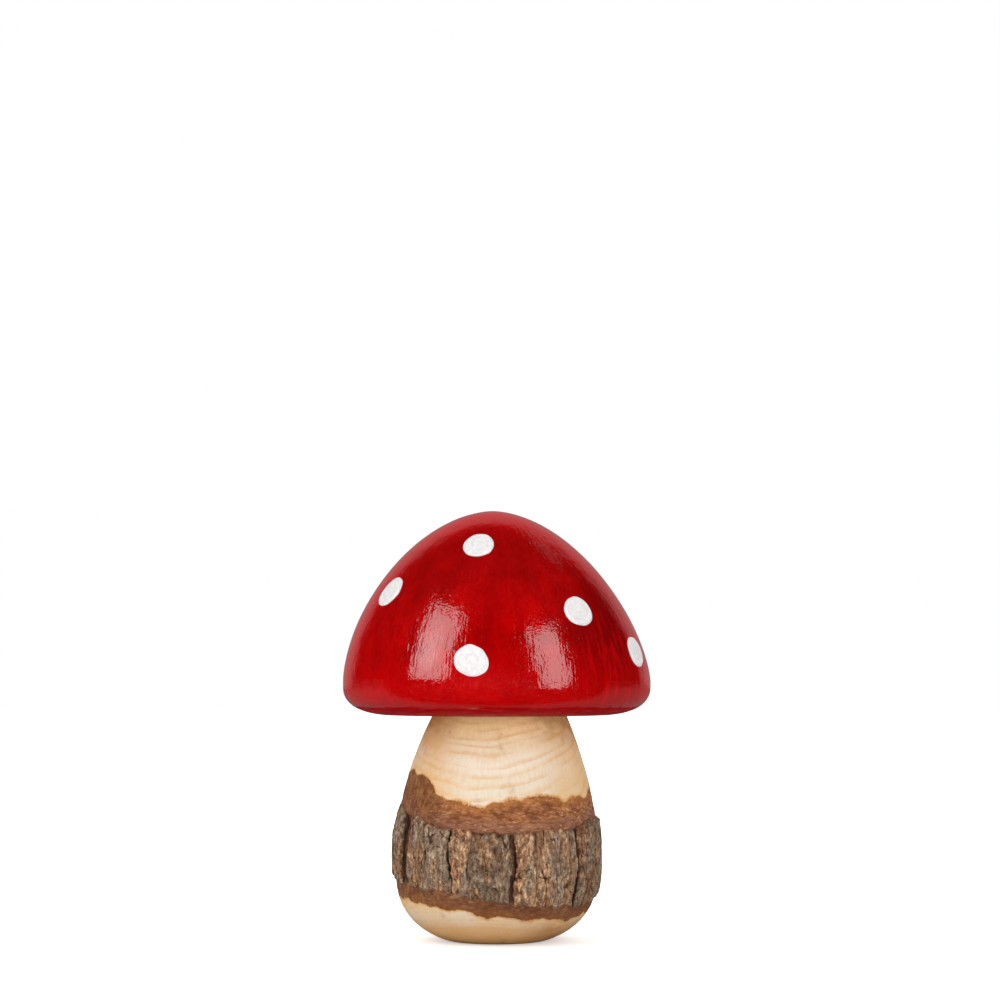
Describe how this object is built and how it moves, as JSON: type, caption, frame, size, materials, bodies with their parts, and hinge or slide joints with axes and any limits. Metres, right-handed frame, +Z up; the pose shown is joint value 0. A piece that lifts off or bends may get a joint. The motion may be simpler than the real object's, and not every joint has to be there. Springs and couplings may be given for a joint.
{
  "type": "toadstool ornament",
  "caption": "Free-standing turned wooden toadstool with a glossy red white-spotted cap on a stem that keeps a band of natural bark.",
  "frame": {"origin": "centre of the footprint on the surface that the ornament stands on", "axes": "+Z up from the foot to the crown of the cap; the front that the picture shows faces -Y"},
  "size_m": [0.1002, 0.1004, 0.1393],
  "materials": {
    "red_lacquer": "glossy red lacquer brushed over turned wood",
    "turned_wood": "sanded pale wood, satin, fine growth rings",
    "dowel_wood": "plain fluted hardwood dowel",
    "inner_bark": "smooth-cut reddish-brown fibrous inner bark, matt",
    "outer_bark": "rough grey-brown natural bark, matt",
    "white_paint": "thick brushed white acrylic paint, satin"
  },
  "bodies": {
    "root": {"cap": "red_lacquer", "stem": "turned_wood", "dowel_pin": "dowel_wood", "bark_inner": "inner_bark", "bark_plate_01": "outer_bark", "bark_plate_02": "outer_bark", "bark_plate_03": "outer_bark", "bark_plate_04": "outer_bark", "bark_plate_05": "outer_bark", "bark_plate_06": "outer_bark", "bark_plate_07": "outer_bark", "bark_plate_08": "outer_bark", "bark_plate_09": "outer_bark", "bark_plate_10": "outer_bark", "bark_plate_11": "outer_bark", "bark_plate_12": "outer_bark", "bark_plate_13": "outer_bark", "bark_plate_14": "outer_bark", "bark_plate_15": "outer_bark", "bark_plate_16": "outer_bark", "bark_plate_17": "outer_bark", "bark_plate_18": "outer_bark", "bark_plate_19": "outer_bark", "bark_plate_20": "outer_bark", "bark_plate_21": "outer_bark", "bark_plate_22": "outer_bark", "bark_plate_23": "outer_bark", "bark_plate_24": "outer_bark", "bark_plate_25": "outer_bark", "paint_spot_01": "white_paint", "paint_spot_02": "white_paint", "paint_spot_03": "white_paint", "paint_spot_04": "white_paint", "paint_spot_05": "white_paint", "paint_spot_06": "white_paint", "paint_spot_07": "white_paint", "paint_spot_08": "white_paint", "paint_spot_09": "white_paint", "paint_spot_10": "white_paint", "paint_spot_11": "white_paint"}
  },
  "joints": []
}
